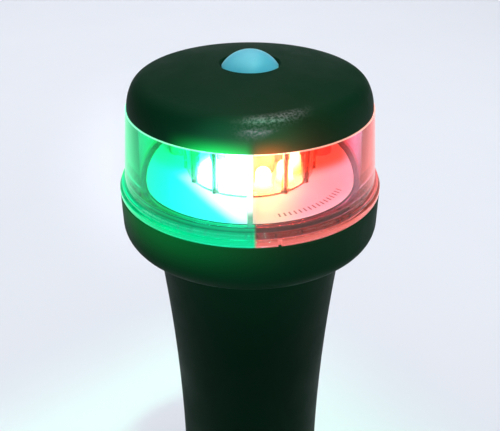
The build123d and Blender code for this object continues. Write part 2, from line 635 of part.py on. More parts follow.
# ---- Push rod: from the button down through the hub to just above the switch's plunger ----
ROD_FOOT_Z = PLUNGER_TOP_Z + BUTTON_TRAVEL - PLUNGER_TRAVEL + 0.05
ROD_COLLAR = 4.2
with BuildPart() as push_rod:
    with BuildSketch(Plane.XY.offset(ROD_FOOT_Z)):
        Circle(ROD_RADIUS)
    extrude(amount=BUTTON_FOOT_Z - ROD_FOOT_Z)
    with BuildSketch(Plane.XY.offset(BUTTON_FOOT_Z)):
        Circle(ROD_COLLAR)
    extrude(amount=-0.6)
finish_part(push_rod, "push_rod")

# ---- Return spring: a light coil round the rod, between the retainer and the rod's collar ----
spring_height = BUTTON_FOOT_Z - 0.6 - RETAINER_TOP_Z
with BuildPart() as return_spring:
    add(coil(3.3, 0.25, RETAINER_TOP_Z, spring_height, 3))
finish_part(return_spring, "return_spring")

# ---- Button boot: the silicone sealing ring under the cap's crown, round the button's flange ----
with BuildPart() as button_boot:
    with BuildSketch(Plane.XY.offset(BUTTON_FOOT_Z)):
        Circle(BOOT_RADIUS)
        Circle(BUTTON_FLANGE_RADIUS + FLANGE_GAP, mode=Mode.SUBTRACT)
    extrude(amount=0.9)
finish_part(button_boot, "button_boot")

# ---- Button retainer: a disc under the cap that guides the rod and carries the spring ----
with BuildPart() as button_retainer:
    with BuildSketch(Plane.XY.offset(RETAINER_BOTTOM_Z)):
        Circle(RETAINER_RADIUS)
        Circle(ROD_RADIUS + RUNNING_GAP, mode=Mode.SUBTRACT)
        with Locations(*around(RETAINER_CIRCLE, RETAINER_BEARINGS)):
            Circle(RETAINER_SCREW_RADIUS + 0.15, mode=Mode.SUBTRACT)
    extrude(amount=RETAINER_THICKNESS)
    with BuildSketch(Plane.XY.offset(RETAINER_TOP_Z)):
        Circle(BOOT_RADIUS - 0.2)
        Circle(BUTTON_FLANGE_RADIUS + FLANGE_GAP, mode=Mode.SUBTRACT)
    extrude(amount=BUTTON_FOOT_Z - RETAINER_TOP_Z)
finish_part(button_retainer, "button_retainer")
retainer_screws = screws(around(RETAINER_CIRCLE, RETAINER_BEARINGS), RETAINER_BOTTOM_Z,
                         head=(1.8, -1.1), shank=(RETAINER_SCREW_RADIUS, 5.0))
finish_part(retainer_screws, "retainer_screws")

# ---- Battery cartridge: frame with three rails, top plate, cells, springs, contacts and rivets ----
CELL_CEILING_Z = CARTRIDGE_TOP_Z - CARTRIDGE_PLATE - CONTACT_THICKNESS
CELL_FLOOR_Z = CELL_CEILING_Z - CELL_SPACE
FRAME_TOP_Z = CARTRIDGE_TOP_Z - CARTRIDGE_PLATE
with BuildPart() as cartridge_frame:
    with BuildSketch(Plane.XY.offset(CARTRIDGE_FOOT_Z)):
        Circle(CARTRIDGE_RADIUS)
    extrude(amount=CARTRIDGE_PLATE)
    with BuildSketch(Plane.XY.offset(CARTRIDGE_FOOT_Z + CARTRIDGE_PLATE)):
        Circle(1.0)
        with Locations(*around(RAIL_CIRCLE, RAIL_BEARINGS)):
            Circle(RAIL_RADIUS)
    extrude(amount=FRAME_TOP_Z - CARTRIDGE_FOOT_Z - CARTRIDGE_PLATE)
finish_part(cartridge_frame, "cartridge_frame")
with BuildPart() as cartridge_top:
    with BuildSketch(Plane.XY.offset(FRAME_TOP_Z)):
        Circle(CARTRIDGE_RADIUS)
    extrude(amount=CARTRIDGE_PLATE)
    with Locations((0, 0, LUG_Z)):
        Box(2 * SOCKET_OUTER - 1.2, LUG_WIDTH, LUG_HEIGHT)
finish_part(cartridge_top, "cartridge_top")
with BuildPart() as one_cell:
    with BuildSketch():
        Circle(CELL_RADIUS)
    extrude(amount=CELL_LENGTH - CELL_NUB)
    fillet(one_cell.edges(), 0.4)
    with BuildSketch(Plane.XY.offset(CELL_LENGTH - CELL_NUB)):
        Circle(1.9)
    extrude(amount=CELL_NUB)
squeezed = CELL_SPACE - CELL_LENGTH
one_spring = coil(2.6, 0.35, 0, squeezed, 3)
cell_middle_z = (CELL_CEILING_Z + CELL_FLOOR_Z) / 2
upright_cell = one_cell.part.moved(Location((0, 0, CELL_FLOOR_Z + squeezed)))
upright_spring = one_spring.moved(Location((0, 0, CELL_FLOOR_Z)))
turned_cell = upright_cell.mirror(Plane.XY.offset(cell_middle_z))
turned_spring = upright_spring.mirror(Plane.XY.offset(cell_middle_z))
with BuildPart() as battery_cells:
    for b, cell in zip(CELL_BEARINGS, (upright_cell, turned_cell, upright_cell)):
        with Locations((*place(CELL_CIRCLE, b), 0)):
            add(cell)
finish_part(battery_cells, "battery_cells")
with BuildPart() as cell_springs:
    for b, spring in zip(CELL_BEARINGS, (upright_spring, turned_spring, upright_spring)):
        with Locations((*place(CELL_CIRCLE, b), 0)):
            add(spring)
finish_part(cell_springs, "cell_springs")
with BuildPart() as cell_contacts:
    for z in (CELL_FLOOR_Z - CONTACT_THICKNESS, CELL_CEILING_Z):
        with BuildSketch(Plane.XY.offset(z)):
            with Locations(*around(CELL_CIRCLE, CELL_BEARINGS)):
                Circle(4.4)
        extrude(amount=CONTACT_THICKNESS)
finish_part(cell_contacts, "cell_contacts")
with BuildPart() as cartridge_rivets:
    with BuildSketch(Plane.XY.offset(CARTRIDGE_TOP_Z)):
        with Locations((-CONTACT_X, CONTACT_Y), (CONTACT_X, CONTACT_Y)):
            Circle(2.3)
    extrude(amount=RIVET_HEIGHT)
finish_part(cartridge_rivets, "cartridge_rivets")
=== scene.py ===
import json
from math import cos, pi, radians, sin, tan

import bmesh
import bpy
import numpy as np
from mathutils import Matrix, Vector


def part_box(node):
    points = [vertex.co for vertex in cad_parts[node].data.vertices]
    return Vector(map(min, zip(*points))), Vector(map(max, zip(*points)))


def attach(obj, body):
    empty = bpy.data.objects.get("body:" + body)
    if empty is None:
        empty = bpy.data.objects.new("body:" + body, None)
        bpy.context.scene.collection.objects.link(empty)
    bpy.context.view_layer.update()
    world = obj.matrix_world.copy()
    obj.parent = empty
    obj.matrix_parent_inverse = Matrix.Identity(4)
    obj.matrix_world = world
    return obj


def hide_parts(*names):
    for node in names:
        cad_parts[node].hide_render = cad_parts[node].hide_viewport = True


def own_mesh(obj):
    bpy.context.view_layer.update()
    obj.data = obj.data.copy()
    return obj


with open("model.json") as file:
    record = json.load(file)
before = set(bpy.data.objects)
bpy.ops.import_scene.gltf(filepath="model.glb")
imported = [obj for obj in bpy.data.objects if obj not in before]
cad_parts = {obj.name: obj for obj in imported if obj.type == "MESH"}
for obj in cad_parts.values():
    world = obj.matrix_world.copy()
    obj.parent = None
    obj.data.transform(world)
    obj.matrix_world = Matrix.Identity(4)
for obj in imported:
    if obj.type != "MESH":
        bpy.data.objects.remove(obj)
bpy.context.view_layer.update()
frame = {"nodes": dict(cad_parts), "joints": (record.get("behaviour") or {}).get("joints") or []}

# ---- Table and background: one pale sheet of matt laminate that curves up behind the light ----
# It is pressed smooth and only faintly clouded, so that it doesn't compete with the clear lens.


def grid_mesh(name, points, closed_round=False, closed_along=False, capped=False):
    """A piece from a grid of points, (rows, columns, 3): each four neighbours make a quad, with
    its outside where going along a row and then along a column turns anticlockwise. A capped
    piece has its first and last rows filled with a face."""
    rows, columns = points.shape[:2]
    number = np.arange(rows * columns).reshape(rows, columns)
    if closed_along:
        number = np.vstack([number, number[:1]])
    if closed_round:
        number = np.hstack([number, number[:, :1]])
    quads = np.stack([number[:-1, :-1], number[:-1, 1:], number[1:, 1:], number[1:, :-1]], axis=-1)
    ends = [number[0, columns - 1::-1].tolist(), number[-1, :columns].tolist()] if capped else []
    mesh = bpy.data.meshes.new(name)
    mesh.from_pydata(points.reshape(-1, 3).tolist(), [], quads.reshape(-1, 4).tolist() + ends)
    return mesh


def stand(name, mesh, body=None, finish=None, crease=40.0):
    """Puts a mesh in the scene as a smooth piece with creases at its sharp edges, and fixes it."""
    mesh.polygons.foreach_set("use_smooth", np.ones(len(mesh.polygons), dtype=bool))
    mesh.set_sharp_from_angle(angle=radians(crease))
    piece = bpy.data.objects.new(name, mesh)
    bpy.context.scene.collection.objects.link(piece)
    if finish is not None:
        mesh.materials.append(finish.material)
    if body is not None:
        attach(piece, body)
    return piece


def plug(socket, value):
    """Joins a signal to a socket, or sets the socket to a plain value."""
    if isinstance(value, Signal):
        socket.node.id_data.links.new(value.socket, socket)
    elif isinstance(value, tuple) and len(value) == 3 and socket.type == "RGBA":
        socket.default_value = (*value, 1.0)
    else:
        socket.default_value = value


class Signal:
    """A shader socket that arithmetic works on: each operator adds one Math node."""

    def __init__(self, socket):
        self.socket = socket

    def maths(self, operation, *values):
        """One Math node on the values, which are signals or numbers."""
        node = self.socket.node.id_data.nodes.new("ShaderNodeMath")
        node.operation = operation
        for socket, value in zip(node.inputs, values):
            plug(socket, value)
        return Signal(node.outputs[0])

    def __add__(self, other):
        return self.maths("ADD", self, other)

    def __sub__(self, other):
        return self.maths("SUBTRACT", self, other)

    def __rsub__(self, other):
        return self.maths("SUBTRACT", other, self)

    def __mul__(self, other):
        return self.maths("MULTIPLY", self, other)

    def __pow__(self, other):
        return self.maths("POWER", self, other)

    def __abs__(self):
        return self.maths("ABSOLUTE", self)

    def above(self, level):
        """1 where the signal is over the level, and 0 elsewhere."""
        return self.maths("GREATER_THAN", self, level)

    def below(self, level):
        """1 where the signal is under the level, and 0 elsewhere."""
        return self.maths("LESS_THAN", self, level)

    __radd__ = __add__
    __rmul__ = __mul__


class Finish:
    """One material, built up from nodes that read places on the piece in metres."""

    def __init__(self, name):
        self.material = bpy.data.materials.new(name)
        self.material.use_nodes = True
        self.tree = self.material.node_tree
        self.tree.nodes.clear()
        self.output = self.tree.nodes.new("ShaderNodeOutputMaterial")

    def node(self, kind, settings=None, sockets=None, output=0):
        """Any node, from its type, its settings and what its sockets hold or are joined to."""
        node = self.tree.nodes.new(kind)
        for key, value in (settings or {}).items():
            setattr(node, key, value)
        for key, value in (sockets or {}).items():
            plug(node.inputs[key], value)
        return Signal(node.outputs[output])

    def place(self):
        """The place on the piece in metres, in the frame that every piece shares."""
        return self.node("ShaderNodeTexCoord", output="Object")

    def along(self):
        """The place's X, Y and Z, as three signals."""
        parts = self.node("ShaderNodeSeparateXYZ", sockets={"Vector": self.place()}).socket.node
        return [Signal(s) for s in parts.outputs]

    def noise(self, cell, detail=3.0, rough=0.55):
        """Soft random mottling whose blotches are about 'cell' metres across."""
        return self.node("ShaderNodeTexNoise", sockets={
            "Vector": self.place(), "Scale": 1 / cell, "Detail": detail, "Roughness": rough})

    def ramp(self, signal, low, high, out_low=0.0, out_high=1.0):
        """The signal from low..high stretched smoothly to out_low..out_high."""
        return self.node("ShaderNodeMapRange", {"interpolation_type": "SMOOTHSTEP"}, {
            "Value": signal, "From Min": low, "From Max": high, "To Min": out_low, "To Max": out_high})

    def blend(self, share, first, second):
        """First colour to second colour, by the share from 0 to 1. A Mix node's colour inputs are
        its sixth and seventh, and its colour output is its second."""
        return self.node("ShaderNodeMix", {"data_type": "RGBA"}, {"Factor": share, 6: first, 7: second}, 2)

    def bump(self, height, distance):
        """A normal that leans as if the surface rose by the height times the distance."""
        return self.node("ShaderNodeBump", sockets={"Height": height, "Distance": distance, "Strength": 1.0})

    def surface(self, **sockets):
        """The Principled shader, with sockets named in plain words."""
        shader = self.node("ShaderNodeBsdfPrincipled", sockets={
            key.replace("_", " ").title().replace("Ior", "IOR"): value for key, value in sockets.items()})
        plug(self.output.inputs["Surface"], shader)
        return shader


laminate = Finish("pale laminate")
laminate.surface(
    base_color=laminate.blend(laminate.noise(0.12), (0.80, 0.83, 0.89), (0.84, 0.87, 0.925)),
    roughness=laminate.ramp(laminate.noise(0.01), 0.3, 0.7, 0.5, 0.62),
    specular_ior_level=0.25)
front_edge, run, rise, sweep_radius, half_width = -1.2, 0.9, 1.4, 0.5, 1.6
flat = np.linspace(front_edge, run, 8)[:-1]
curl = np.linspace(0, pi / 2, 25)
distance = np.concatenate([flat, run + sweep_radius * np.sin(curl), [run + sweep_radius]])
height = np.concatenate([0 * flat, sweep_radius * (1 - np.cos(curl)), [rise]])
across = np.linspace(-half_width, half_width, 9)
sheet_points = np.stack(np.broadcast_arrays(
    across[None, :], distance[:, None], height[:, None]), axis=-1).astype(float)
stand("table", grid_mesh("table", sheet_points), finish=laminate)

# ---- Stem: black ABS moulding with a sprayed soft-touch coat, bowl above and battery tube below ----
# The coat's fine grain breaks up highlights; thumbs polish it slightly, so its gloss wanders.
MM = 0.001
bowl_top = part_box("stem_body")[1].z
unlit = (0.0, 0.0, 0.0)


def soft_touch(name, painted_glow, polish=None, grain=0.00042, depth=0.000022):
    """A matt rubbery paint, nearly black with a green cast, with orange-peel grain. Next to the lens
    it carries a painted glow in the colour that the glow function gives, standing in for the lamps'
    light, and 'polish' is where handling has given it a thin gloss. Dust shows as a few paler specks."""
    coat = Finish(name)
    blotch = coat.noise(0.011, 4.0)
    peel = coat.noise(grain, 2.0, 0.6)
    dust = coat.noise(0.0011, 5.0, 0.7)
    specks = coat.ramp(dust, 0.70, 0.78)
    dark = coat.blend(blotch, (0.0006, 0.0125, 0.0045), (0.0010, 0.0160, 0.0062))
    coat.surface(
        base_color=coat.blend(specks * 0.2, dark, (0.008, 0.030, 0.017)),
        roughness=coat.ramp(blotch + peel * 0.4, 0.45, 0.95, 0.46, 0.60),
        ior=1.10, specular_tint=(0.3, 1.0, 0.6),
        emission_color=painted_glow(coat), emission_strength=1.0,
        coat_weight=polish(coat) if polish else 0.0, coat_roughness=0.36,
        normal=coat.bump(peel + dust * 0.3, depth))
    return coat


def bowl_painted_glow(coat):
    """Painted glow in place of the lamps' light: green that fades down the bowl, aft, and away from the
    starboard side.
    """
    x, y, z = coat.along()
    down = coat.ramp(z, bowl_top - 12 * MM, bowl_top) ** 2.0
    starboard = coat.ramp(x, -22 * MM, 12 * MM, 1.0, 0.0)
    forward = coat.ramp(y, -24 * MM, 6 * MM, 1.0, 0.0)
    return coat.blend(starboard * down * forward, unlit, (0.0, 0.10, 0.014))


def dress(finish, *nodes):
    """Gives CAD nodes a finish in every material slot."""
    for name in nodes:
        for slot in frame["nodes"][name].material_slots:
            slot.material = finish.material


# The stem's bowl carries a painted green glow next to the lens, standing in for the lamps' light.
body_coat = soft_touch("stem soft-touch coat", bowl_painted_glow)
dress(body_coat, "stem_body")

# ---- Base plug and other bare black mouldings: glass-filled nylon straight from the tool ----
# The plug is screwed into the stem's foot. The skirt of the head, the button's retainer, the push rod
# and the battery cartridge are of the same nylon, which shows faint mottling where it flowed.
nylon = Finish("black nylon")
flow = nylon.noise(0.004, 5.0)
nylon.surface(
    base_color=nylon.blend(flow, (0.006, 0.0075, 0.0068), (0.013, 0.0155, 0.0145)),
    roughness=nylon.ramp(flow, 0.3, 0.7, 0.36, 0.52),
    specular_ior_level=0.35,
    normal=nylon.bump(nylon.noise(0.0002, 2.0), 0.000008))
dress(nylon, "base_plug", "head_base", "button_retainer", "cartridge_frame", "cartridge_top", "push_rod")

# ---- Seals, gaskets and the bumper: moulded rubber rings, and a pad of closed-cell foam ----
# The rings sit greased in their grooves, squeezed by the parts that they seal. The pad is cut from
# sheet and laid dry on the plug, where it keeps the cells from rattling.
rubber = Finish("black rubber")
rubber.surface(
    base_color=rubber.blend(rubber.noise(0.002), (0.008, 0.008, 0.008), (0.017, 0.017, 0.016)),
    roughness=rubber.ramp(rubber.noise(0.0008), 0.3, 0.7, 0.5, 0.7),
    normal=rubber.bump(rubber.noise(0.00025), 0.00001))
dress(rubber, "plug_seal", "head_seal", "lens_gasket", "cap_gasket")
foam = Finish("closed-cell foam")
cells = foam.node("ShaderNodeTexVoronoi", sockets={"Vector": foam.place(), "Scale": 1600.0})
foam.surface(
    base_color=foam.blend(cells, (0.045, 0.045, 0.05), (0.02, 0.02, 0.023)),
    roughness=0.9, normal=foam.bump(cells, 0.0001))
dress(foam, "battery_bumper")

# ---- Screws and wire springs: stainless steel screws, cold-headed, and drawn spring wire ----
# The screws clamp the plug, the head and the button's retainer. The cells' springs and the board's
# contact coils are wound from bright wire, and the cells' contact plates are nickelled brass, riveted.


def metal(name, light, dark, gloss, line=0.0001):
    """Bright metal with fine marks and a slight change of tone from handling."""
    made = Finish(name)
    marks = made.noise(line, 2.0)
    tone = made.noise(0.0015, 4.0)
    made.surface(
        base_color=made.blend(tone, dark, light), metallic=1.0,
        roughness=made.ramp(tone + marks * 0.5, 0.5, 1.1, gloss, gloss + 0.16),
        normal=made.bump(marks, 0.000004))
    return made


steel = metal("stainless steel", (0.62, 0.61, 0.59), (0.46, 0.45, 0.44), 0.24)
dress(steel, "plug_screws", "head_screws", "retainer_screws")
wire = metal("spring wire", (0.55, 0.54, 0.52), (0.38, 0.37, 0.36), 0.2)
dress(wire, "cell_springs", "board_contacts")
plate = metal("nickelled brass", (0.72, 0.68, 0.58), (0.58, 0.53, 0.42), 0.22)
dress(plate, "cell_contacts", "cartridge_rivets")

# ---- Return spring: three turns of spring wire round the push rod, under the button's collar ----
# It stands on the retainer, and the button's travel squeezes it; here the wound coil keeps its rest length
# and rides on the head.


def coil_points(low, high, wire_radius, turns, per_turn=40, round_wire=12):
    """A coil that fills a box: the wire's middle climbs evenly as it turns, and round it the section
    is a circle square to the wire's run."""
    t = np.linspace(0, 2 * pi * turns, per_turn * turns + 1)
    reach = high.x - wire_radius
    climb = (high.z - low.z - 2 * wire_radius) / (2 * pi * turns)
    middle = np.stack([reach * np.cos(t), reach * np.sin(t), low.z + wire_radius + climb * t], axis=-1)
    out = np.stack([np.cos(t), np.sin(t), 0 * t], axis=-1)
    run = np.stack([-reach * np.sin(t), reach * np.cos(t), climb + 0 * t], axis=-1)
    run /= np.linalg.norm(run, axis=-1, keepdims=True)
    side = np.cross(run, out)
    a = np.linspace(0, 2 * pi, round_wire, endpoint=False)[None, :, None]
    return middle[:, None] + wire_radius * (np.cos(a) * out[:, None] + np.sin(a) * side[:, None])


spring_low, spring_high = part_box("return_spring")
spring_height = spring_high.z - spring_low.z
wire_radius, spring_turns = 0.25 * MM, 3
button_travel = next(j["range_m"][1] for j in frame["joints"] if j["name"] == "button_press")
spring_points = coil_points(spring_low, spring_high, wire_radius, spring_turns)
spring_mesh = grid_mesh("return_spring_wound", spring_points, closed_round=True, capped=True)
return_spring = stand("return_spring_wound", spring_mesh, "head", wire)
(spring_height - button_travel) / spring_height
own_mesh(return_spring)
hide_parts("return_spring")

# ---- Battery cells: three steel cans, each in a plain shrink sleeve with a dark band at one end ----
# They stand side by side in the cartridge, between its springs and its contact plates. The can shows
# through the sleeve as a dull metallic sheen.
sleeve = Finish("cell sleeve")
_, _, sleeve_z = sleeve.along()
band_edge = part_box("battery_cells")[0].z + 14 * MM
band = sleeve.ramp(sleeve_z, band_edge, band_edge + 0.4 * MM)
sleeve.surface(
    base_color=sleeve.blend(band, (0.05, 0.07, 0.09), (0.55, 0.57, 0.6)),
    metallic=0.6, roughness=sleeve.ramp(sleeve.noise(0.003), 0.3, 0.7, 0.25, 0.38))
dress(sleeve, "battery_cells")

# ---- Circuit board: white solder mask on glass fibre, with tinned pads and a printed tick scale ----
# The parts underneath are moulded epoxy and fired ceramic, soldered flat to the board.
board_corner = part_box("led_board")[1]
board_top, board_radius = board_corner.z, board_corner.x
tick_pitch, tick_share = 3.0, 0.36
mask = Finish("white solder mask")
x, y, z = mask.along()
reach = mask.node("ShaderNodeMath", {"operation": "SQRT"}, {0: x * x + y * y})
bearing = mask.node("ShaderNodeMath", {"operation": "ARCTAN2"}, {0: x, 1: y * -1.0})
scale_band = reach.above(board_radius - 2.9 * MM) * reach.below(board_radius - 1.7 * MM)
scale_arc = bearing.above(radians(13.0)) * bearing.below(radians(61.0))
pitches = bearing * (1 / radians(tick_pitch))
tick = mask.node("ShaderNodeMath", {"operation": "FRACT"}, {0: pitches}).below(tick_share)
top_side = z.above(board_top - 0.05 * MM)
ink = scale_band * scale_arc * tick * top_side
side_wall = reach.above(board_radius - 0.02 * MM)
weave = mask.noise(0.0006, 2.0)
fresh = mask.blend(mask.noise(0.006), (0.74, 0.745, 0.75), (0.80, 0.80, 0.80))
bare_board = mask.blend(side_wall, fresh, (0.03, 0.04, 0.025))
mask.surface(
    base_color=mask.blend(ink * 0.82, bare_board, (0.05, 0.05, 0.06)),
    roughness=mask.ramp(weave, 0.3, 0.7, 0.3, 0.42),
    normal=mask.bump(weave, 0.00001))
dress(mask, "led_board")
epoxy = Finish("black moulded epoxy")
epoxy.surface(
    base_color=epoxy.blend(epoxy.noise(0.0006), (0.012, 0.012, 0.013), (0.03, 0.03, 0.032)),
    roughness=epoxy.ramp(epoxy.noise(0.0004), 0.3, 0.7, 0.4, 0.6))
dress(epoxy, "switch_body", "driver_chip", "board_resistors", "switch_plunger")

# ---- Lamps: clear epoxy LEDs, a flanged base and a bullet dome with the glowing chip inside ----
# Each is soldered through the board; starboard ones are green and port ones red.


def rounded(corners, closed=True, step=9.0):
    """The outline through (radius, height, rounding) corners, in metres: a rounded corner becomes
    an arc tangent to both its sides, at about 'step' degrees a piece, and a long side stays straight."""
    points = []
    count = len(corners)
    for i, (r, z, rounding) in enumerate(corners):
        here = np.array([r, z])
        if rounding == 0 or (not closed and i in (0, count - 1)):
            points.append(here)
            continue
        before = np.array(corners[i - 1][:2]) - here
        after = np.array(corners[(i + 1) % count][:2]) - here
        before, after = before / np.linalg.norm(before), after / np.linalg.norm(after)
        half = np.arccos(np.clip(before @ after, -1, 1)) / 2
        middle = (before + after) / np.linalg.norm(before + after)
        centre = here + middle * rounding / sin(half)
        turn = pi - 2 * half
        side = np.sign(before[0] * after[1] - before[1] * after[0])
        start = here + before * rounding / tan(half) - centre
        sweep = side * -1 * np.linspace(0, turn, max(2, int(np.ceil(np.degrees(turn) / step)) + 1))
        arc = np.stack([start[0] * np.cos(sweep) - start[1] * np.sin(sweep),
                        start[0] * np.sin(sweep) + start[1] * np.cos(sweep)], axis=-1) + centre
        points.extend(arc)
    return np.array(points)


def turned(name, outline, centre=(0.0, 0.0), angles=192, press=None):
    """A solid turned about the upright through 'centre': an outline point (radius, height) goes to
    (radius cos t, radius sin t, height). An outline that ends on the axis closes there."""
    t = np.linspace(0, 2 * pi, angles, endpoint=False) if isinstance(angles, int) else angles
    radius = np.broadcast_to(outline[:, :1], (len(outline), len(t))).copy()
    height = np.broadcast_to(outline[:, 1:], radius.shape)
    if press is not None:
        radius = press(radius, height, t[None, :])
    points = np.stack([
        centre[0] + radius * np.cos(t), centre[1] + radius * np.sin(t), height], axis=-1)
    on_axis = outline[0, 0] < 1e-9 and outline[-1, 0] < 1e-9
    mesh = grid_mesh(name, points, closed_round=True, closed_along=not on_axis)
    if on_axis:
        merge_close(mesh)
    return mesh


def merge_close(mesh):
    """Joins points that coincide, and drops the faces that this flattens."""
    work = bmesh.new()
    work.from_mesh(mesh)
    bmesh.ops.remove_doubles(work, verts=work.verts, dist=1e-7)
    bmesh.ops.dissolve_degenerate(work, edges=work.edges, dist=1e-8)
    work.to_mesh(mesh)
    work.free()


def gather(name, meshes):
    """Several meshes as one."""
    work = bmesh.new()
    for mesh in meshes:
        work.from_mesh(mesh)
    joined = bpy.data.meshes.new(name)
    work.to_mesh(joined)
    work.free()
    return joined


lamp_radius, lamp_flange = 1.55 * MM, 1.9 * MM
flange_top, lamp_top = board_top + 0.9 * MM, board_top + 4.6 * MM
lamp_outline = rounded([
    (0, board_top, 0), (lamp_flange, board_top, 0.1 * MM), (lamp_flange, flange_top, 0.12 * MM),
    (lamp_radius, flange_top, 0.1 * MM), (lamp_radius, lamp_top, lamp_radius * 0.98),
    (0, lamp_top, 0)], closed=False)
solder_outline = rounded([
    (0, board_top, 0), (0.55 * MM, board_top, 0), (0.3 * MM, board_top + 0.4 * MM, 0.2 * MM),
    (0, board_top + 0.45 * MM, 0)], closed=False)
lamp_circle, solder_circle = 9.5 * MM, 12.1 * MM
lamp_bearings = (16.0, 48.0, 80.0)
solder_bearings, lead_spread = (34.0, 64.0, 94.0), 2.6


def spot(distance, degrees):
    """The point at this distance from the axis and this bearing from the bow towards port."""
    return distance * sin(radians(degrees)), -distance * cos(radians(degrees))


def lamp_glow(name, core, rim, strength):
    """Lit epoxy: white-hot round the chip, its own colour towards the flange."""
    lit = Finish(name)
    _, _, up = lit.along()
    height = lit.ramp(up, board_top + 0.4 * MM, board_top + 3.4 * MM)
    lit.surface(
        base_color=lit.blend(height, rim, core), roughness=0.12,
        emission_color=lit.blend(height, rim, core), emission_strength=strength)
    return lit


green_lit = lamp_glow("green lamp epoxy", (0.75, 1.0, 0.95), (0.1, 0.9, 0.5), 90.0)
red_lit = lamp_glow("red lamp epoxy", (1.0, 0.66, 0.26), (1.0, 0.12, 0.03), 36.0)
solder = metal("solder", (0.72, 0.72, 0.72), (0.55, 0.55, 0.56), 0.2)
for side, node, lit, slot in (
        (-1, "green_leds", green_lit, "green_lamp"), (1, "red_leds", red_lit, "red_lamp")):
    bulbs = [turned("bulb", lamp_outline, spot(lamp_circle, side * b), 48) for b in lamp_bearings]
    row = stand(node + "_lit", gather(node + "_lit", bulbs), "head", lit)
    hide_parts(node)
    joints = [turned("joint", solder_outline, spot(solder_circle, side * b + shift), 16)
              for b in solder_bearings for shift in (-lead_spread, lead_spread)]
    stand(node + "_solder", gather("solder", joints), "head", solder)

# ---- Inner optic: a clear acrylic half-ring on each side, fluted so that it spreads the lamps ----
# It is injection moulded, so its flutes and ends are softly rounded.
optic_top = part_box("optic_port")[1].z
optic_inner, optic_outer = 12.4 * MM, 14.0 * MM
optic_start, optic_end = 2.8, 107.0
flute_bearings, flute_spread, flute_swell = (31.0, 57.0, 83.0), 1.7, 0.6 * MM


def clear(name, tint, passing, glow=None, ior=1.49, gloss=0.03, shine=(1.0, 1.0, 1.0)):
    """Clear plastic that bends light, and lets light from the lamps go straight on. Its tint, painted light
    in the lamps' colour, and its painted glow, if any, come from the place on the piece."""
    made = Finish(name)
    x, y, z = made.along()
    lit = {"emission_color": glow(made, x, y, z), "emission_strength": 0.55} if glow else {}
    shader = made.surface(
        base_color=tint(made, x, y, z), transmission_weight=1.0, ior=ior, specular_tint=shine,
        roughness=made.ramp(made.noise(0.0009, 4.0), 0.35, 0.8, gloss, gloss + 0.05), **lit)
    path = made.node("ShaderNodeLightPath", output="Is Shadow Ray")
    straight = made.node("ShaderNodeBsdfTransparent", sockets={"Color": passing})
    mixed = made.node("ShaderNodeMixShader", sockets={0: path, 1: shader, 2: straight})
    plug(made.output.inputs["Surface"], mixed)
    return made


def optic_points(side):
    """Half-ring: the bearing runs from its start to its end, and round the section goes a rounded
    oblong whose outer face swells at each flute by a narrow bell, exp of minus (turn / spread)
    squared. The port side's rows run the other way, so that its outside is out."""
    bearings = np.linspace(optic_start, optic_end, 260)
    swell = sum(np.exp(-((bearings - b) / flute_spread) ** 2) for b in flute_bearings) * flute_swell
    section = rounded([
        (optic_inner, board_top, 0.2 * MM), (optic_outer, board_top, 0.2 * MM),
        (optic_outer, optic_top, 0.45 * MM), (optic_inner, optic_top, 0.45 * MM)])
    outward = np.clip((section[:, 0] - optic_inner) / (optic_outer - optic_inner), 0, 1) ** 4
    radius = section[None, :, 0] + swell[:, None] * outward[None, :]
    b = np.radians(bearings)[:, None]
    points = np.stack([side * radius * np.sin(b), -radius * np.cos(b),
                       np.broadcast_to(section[None, :, 1], radius.shape)], axis=-1)
    return points[::-1] if side > 0 else points


def fluted_tint(pale, shaded):
    """Painted light: a pale tint in the lamps' colour, with painted shade at the flutes, which spread light
    most.
    """
    def tint(made, x, y, z):
        """Painted shade within about 2 degrees of a flute, measured round from the bow."""
        bearing = made.node("ShaderNodeMath", {"operation": "ARCTAN2"}, {0: abs(x), 1: y * -1.0})
        flutes = sum(made.ramp(abs(bearing - radians(b)), radians(1.1), radians(2.2), 1.0, 0.0)
                     for b in flute_bearings)
        return made.blend(flutes, pale, shaded)
    return tint


# The acrylic is clear: its pale green and red tints are painted light standing in for the lamps, and the
# darker flutes are painted shade.
pale_green, pale_red = (0.88, 1.0, 0.97), (1.0, 0.86, 0.80)
acrylic_green = clear("starboard acrylic", fluted_tint(pale_green, (0.02, 0.22, 0.20)), pale_green)
acrylic_red = clear("port acrylic", fluted_tint(pale_red, (0.36, 0.08, 0.03)), pale_red)
for side, node, acrylic in ((-1, "optic_starboard", acrylic_green), (1, "optic_port", acrylic_red)):
    mesh = grid_mesh(node + "_fluted", optic_points(side), closed_round=True, capped=True)
    optic = stand(node + "_fluted", mesh, "head", acrylic, crease=30.0)
    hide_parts(node)

# ---- Sector baffle: grey moulding screwed down on the board between the lamps ----
# Its walls are satin. The rear walls carry a painted glow in the colour of the lamps on their own side, and
# the divider at the bow is painted green low down and white-hot above. The two rear walls lean aft by 22.5
# degrees, where the sectors of both lights end.
baffle = Finish("grey baffle plastic")
cloud = baffle.noise(0.005, 4.0)
x, y, z = baffle.along()
painted_side_glow = baffle.blend(baffle.ramp(x, -0.3 * MM, 0.3 * MM), (0.0, 0.50, 0.16), (0.85, 0.035, 0.02))
wall_turn = radians(22.5)
forward = baffle.ramp(abs(x) * sin(wall_turn) - y * cos(wall_turn), -0.2 * MM, 0.4 * MM)
aft = baffle.ramp(y, -6 * MM, 0.0) * forward
divider = baffle.ramp(y, -13 * MM, -11 * MM, 1.0, 0.0)
hot = baffle.ramp(z, board_top + 2.2 * MM, board_top + 4.0 * MM)
painted_divider_glow = baffle.blend(hot, (0.0, 0.30, 0.10), (1.3, 1.4, 1.25))
glow = baffle.blend(aft, unlit, painted_side_glow)
baffle.surface(
    base_color=baffle.blend(cloud, (0.10, 0.11, 0.10), (0.15, 0.15, 0.14)),
    emission_color=baffle.blend(divider, glow, painted_divider_glow), emission_strength=0.7,
    roughness=baffle.ramp(cloud, 0.3, 0.7, 0.4, 0.55),
    normal=baffle.bump(baffle.noise(0.0003), 0.00001))
dress(baffle, "sector_baffle")
